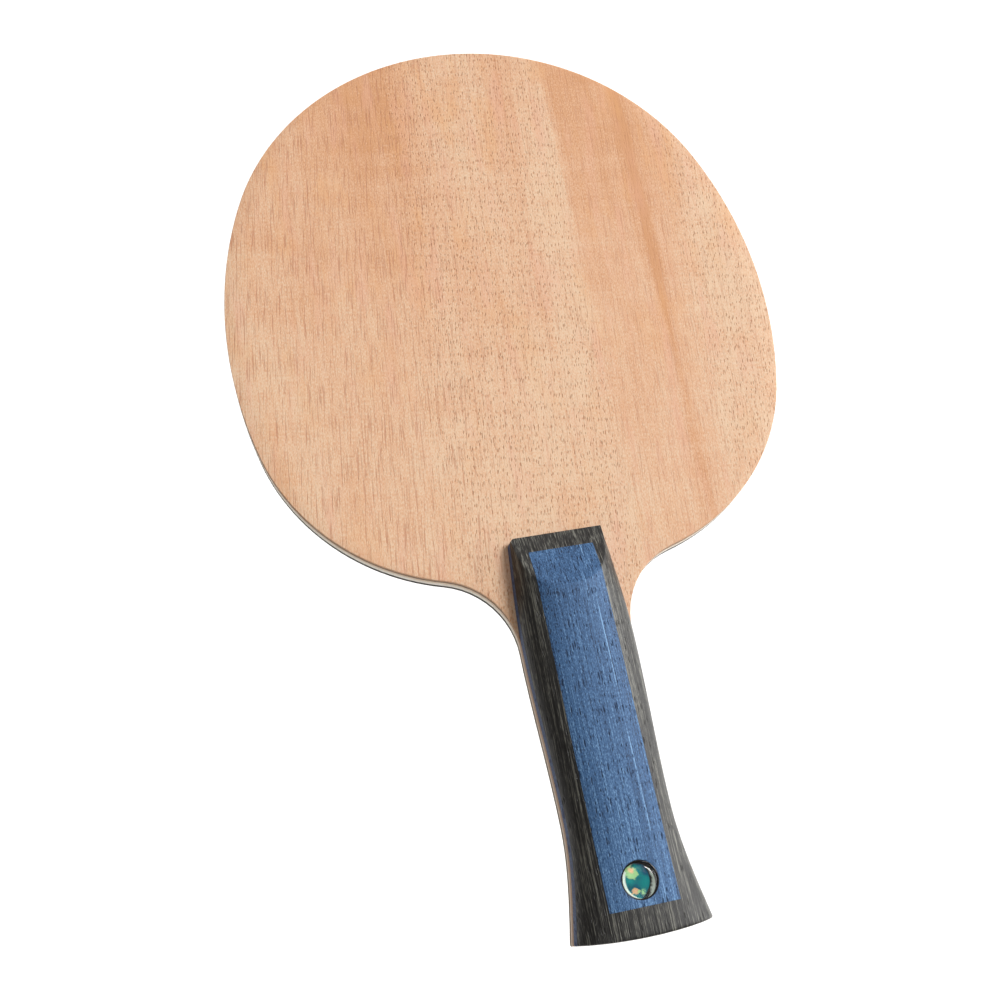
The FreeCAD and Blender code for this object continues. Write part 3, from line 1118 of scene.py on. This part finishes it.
def badge_plastic():
    """Glossy black plastic with fine wear."""
    n = Nodes("badge_plastic")
    wear = n.noise(across=0.4, along=0.4, shift=3, detail=4.0)
    colour = n.ramp(wear, [(0.3, PLASTIC_DARK), (0.8, PLASTIC_WORN)])
    return n.finish(Base_Color=colour, Roughness=n.line(wear, slope=0.25, start=0.12),
                    Normal=n.bump(wear, depth=0.01))


FOIL_TEAL_DEEP = linear((0, 84, 120))
FOIL_TEAL = linear((0, 140, 140))
# Colours of the painted iridescent highlights on the foil
FOIL_GREEN = linear((178, 226, 160))
FOIL_COPPER = linear((242, 196, 150))
# Painted reflection on the foil
FOIL_PAINTED_GLINT = linear((244, 255, 246))
# Painted shade on the foil, from the cup's wall seen through the lens
FOIL_PAINTED_SHADE = linear((1, 2, 2))

# Round marks on the foil, first to last: colour, offset from the badge's centre, radius, how
# far the edge fades (below 0 fills the inside, above 0 the outside) and how ragged it is, in mm.
# The pale green and copper ones are painted iridescent highlights. The outside ones are painted
# light: a painted reflection as a pale crescent on the left, painted shade from the cup's wall as
# a dark crescent on the right with a painted reflection as a pale one beyond it, and painted
# shade dark at the rim.
FOIL_MARKS = [
    (FOIL_PAINTED_GLINT, 0.72, -0.05, 3.52, 0.15, 0.0),
    (FOIL_GREEN, -1.15, 1.6, 1.35, -0.4, 2.6),
    (FOIL_GREEN, -1.7, 2.6, 1.0, -0.4, 1.5),
    (FOIL_COPPER, -1.3, 2.3, 0.8, -0.5, 1.0),
    (FOIL_COPPER, -1.25, -2.0, 0.9, -0.6, 4.0),
    (FOIL_GREEN, 0.0, -2.5, 0.8, -0.6, 4.0),
    (FOIL_PAINTED_SHADE, -1.76, 0.36, 4.1, 0.2, 0.0),
    (FOIL_PAINTED_GLINT, -1.64, 0.0, 4.25, 0.5, 1.2),
    (FOIL_PAINTED_SHADE, -0.2, -0.26, 3.5, 0.15, 0.0),
]


def badge_foil():
    """Mottled teal foil with painted iridescent highlights in pale green and copper, painted
    reflections as pale crescents, and painted shade dark at the rim.
    """
    n = Nodes("badge_foil")
    drift = n.noise(across=2.6, along=2.1, lean=30, detail=2.5)
    ragged = n.noise(across=1.3, along=1.1, shift=23, detail=3.0, roughness=0.6)
    flakes = n.noise(across=0.4, along=0.4, shift=9, detail=3.0)
    tone = n.total(drift, n.swing(flakes, 0.15))
    colour = n.ramp(tone, [(0.35, FOIL_TEAL_DEEP), (0.65, FOIL_TEAL)])
    for tint, x, y, radius, fade, wander in FOIL_MARKS:
        reach = n.total(n.away(x, BADGE_Y + y), n.swing(ragged, wander))
        colour = n.mix(n.step(reach, radius, radius + fade), colour, tint)
    return n.finish(Base_Color=colour, Roughness=n.line(flakes, slope=0.3, start=0.35),
                    Normal=n.bump(flakes, depth=0.01), Specular_IOR_Level=0.1)


LENS_TINT = linear((250, 253, 252))


def badge_lens():
    """Clear resin with a faint ripple."""
    n = Nodes("badge_lens")
    ripple = n.noise(across=1.8, along=1.8, shift=2)
    return n.finish(Base_Color=LENS_TINT, Transmission_Weight=1.0, IOR=1.34,
                    Roughness=n.line(ripple, slope=0.03, start=0.01),
                    Normal=n.bump(ripple, depth=0.01))


PAPER_DIM = linear((249, 249, 248))
PAPER_PALE = linear((253, 253, 253))


def floor_paper():
    """Pale matt paper."""
    n = Nodes("floor_paper")
    fibres = n.noise(across=3, along=3, detail=4.0)
    colour = n.ramp(fibres, [(0.0, PAPER_DIM), (1.0, PAPER_PALE)])
    return n.finish(Base_Color=colour, Roughness=0.9, Specular_IOR_Level=0.1)


# ---------- the pieces

# Mesh columns across the plies inside, and across the two faces
INSIDE_COLUMNS = 8
FACE_COLUMNS = 24


def build_blade():
    """The seven plies, each in its own wood or fibre."""
    face = face_wood()
    inner = edge_wood("inner_veneer", INNER_TONES, shift=5)
    core = edge_wood("core_wood", CORE_TONES, shift=17)
    weave = fibre_weave()
    both = ("_front", "_back")
    lay_up = [
        ("core_ply", [""], "core_wood", core, False, PLY_INSET, INSIDE_COLUMNS),
        ("fibre_ply", both, "fibre_weave", weave, False, FIBRE_INSET, INSIDE_COLUMNS),
        ("inner_ply", both, "inner_veneer", inner, False, PLY_INSET, INSIDE_COLUMNS),
        ("face_ply", both, "face_veneer", face, True, PLY_INSET, FACE_COLUMNS),
    ]
    for ply, ends, slot, material, rounded, inset, columns in lay_up:
        for node in [ply + end for end in ends]:
            low, high = low_corner(node).z, high_corner(node).z
            outside, inside = (high, low) if high + low >= 0 else (low, high)
            skin = ply_skin(outside, inside, rounded, inset, columns)
            add_piece(skin, node + "_wood", node, material)


def build_grip():
    """Both halves of the grip: base layer, dark shell and blue inlay."""
    black = black_dyed_wood()
    blue = blue_dyed_wood()
    for end, is_front in (("front", True), ("back", False)):
        surface = grip_surface(is_front)
        skins = {
            "grip_base_": (base_skin(surface), "blue_dyed_wood", blue),
            "grip_shell_": (shell_skin(surface), "black_dyed_wood", black),
            "grip_inlay_": (inlay_skin(surface, is_front), "blue_dyed_wood", blue),
        }
        for start, (skin, slot, material) in skins.items():
            if not is_front:
                to_back(skin)
            add_piece(skin, start + end + "_wood", start + end, material)


def build_badge():
    """Cup, foil and lens."""
    add_piece(cup_skin(), "badge_cup_turned", "badge_cup", badge_plastic())
    add_piece(foil_skin(), "badge_foil_disc", "badge_foil", badge_foil())
    add_piece(lens_skin(), "badge_lens_dome", "badge_lens", badge_lens())


# ---------- studio

# The floor lies far below, so that no shadow falls in the picture
FLOOR_DROP = 900.0
FLOOR_SIZE = 4000.0
FLOOR_CELLS = 8

# Camera: the place on the front face it looks at, distance in mm, angles in degrees, lens in mm
VIEW_AIM = (-12.0, -17.0)
VIEW_DISTANCE = 303.8
VIEW_TILT = 21.84
VIEW_TURN = 25.82
VIEW_ROLL = -11.99
VIEW_LENS = 41.91

# Square soft lights: name, place and size in mm, and watts
LIGHTS = [
    ("key", (2920, 1350, 3150), 1650, 245.0),
    ("side", (2600, -230, 330), 2300, 46.0),
    ("overhead", (450, 950, 2850), 1500, 8.0),
    ("edge", (-1300, -2600, 300), 1500, 16.0),
]

# The room is brighter towards the tip and the right
ROOM_COLOUR = (1.0, 0.93, 0.85, 1.0)
ROOM_BRIGHT_SIDE = (0.8, 0.6, 0.0)
ROOM_RANGE = {"From Min": -1.0, "From Max": 1.0, "To Min": 0.09, "To Max": 0.56}


def build_floor():
    """A wide pale sheet below the paddle."""
    half = FLOOR_SIZE / 2
    level = cad_bounds[0][2] / MM - FLOOR_DROP
    skin = Skin()
    for i in range(FLOOR_CELLS + 1):
        for j in range(FLOOR_CELLS + 1):
            x, y = [-half + FLOOR_SIZE * step / FLOOR_CELLS for step in (i, j)]
            skin.point(("top", i, j), (x, y, level))
    for i in range(FLOOR_CELLS):
        for j in range(FLOOR_CELLS):
            skin.cell("top", i, j)
    mesh = bpy.data.meshes.new("floor")
    mesh.from_pydata(skin.points, [], skin.faces)
    mesh.materials.append(floor_paper())
    floor = add_object("floor", mesh)


def build_lights():
    """A large key from the upper right, two low lights and a weak fill, all facing the paddle."""
    for name, place, size, watts in LIGHTS:
        lamp = bpy.data.lights.new(name, "AREA")
        lamp.shape = "SQUARE"
        lamp.size = size * MM
        lamp.energy = watts
        holder = add_object(name, lamp)
        holder.location = Vector(place) * MM
        holder.rotation_euler = Vector(place).to_track_quat("Z", "Y").to_euler()


def build_room():
    """A pale room all round, brighter on one side."""
    world = bpy.data.worlds.new("room")
    world.use_nodes = True
    tree = world.node_tree
    background = tree.nodes["Background"]
    background.inputs["Color"].default_value = ROOM_COLOUR
    direction = tree.nodes.new("ShaderNodeTexCoord").outputs["Generated"]
    towards = tree.nodes.new("ShaderNodeVectorMath")
    towards.operation = "DOT_PRODUCT"
    towards.inputs[1].default_value = ROOM_BRIGHT_SIDE
    tree.links.new(direction, towards.inputs[0])
    strength = tree.nodes.new("ShaderNodeMapRange")
    for name, value in ROOM_RANGE.items():
        strength.inputs[name].default_value = value
    tree.links.new(towards.outputs["Value"], strength.inputs["Value"])
    tree.links.new(strength.outputs[0], background.inputs["Strength"])
    bpy.context.scene.world = world
    bpy.context.scene.view_settings.view_transform = "Standard"


def build_camera():
    """The camera at the photograph's angle: a close view from above the grip's left."""
    tilt, turn = math.radians(VIEW_TILT), math.radians(VIEW_TURN)
    out = -math.sin(tilt)
    back = Vector((out * math.sin(turn), out * math.cos(turn), math.cos(tilt)))
    right = Vector((0, 1, 0)).cross(back).normalized()
    up = back.cross(right)
    turned = Matrix.Rotation(math.radians(VIEW_ROLL), 3, back)
    axes = Matrix([turned @ right, turned @ up, back]).transposed()
    lens = bpy.data.cameras.new("camera")
    lens.lens = VIEW_LENS
    camera = add_object("camera", lens)
    aim = Vector((*VIEW_AIM, HALF_BLADE))
    camera.matrix_world = Matrix.Translation((aim + back * VIEW_DISTANCE) * MM) @ axes.to_4x4()
    bpy.context.scene.camera = camera


build_blade()
build_grip()
build_badge()
build_floor()
build_lights()
build_room()
build_camera()
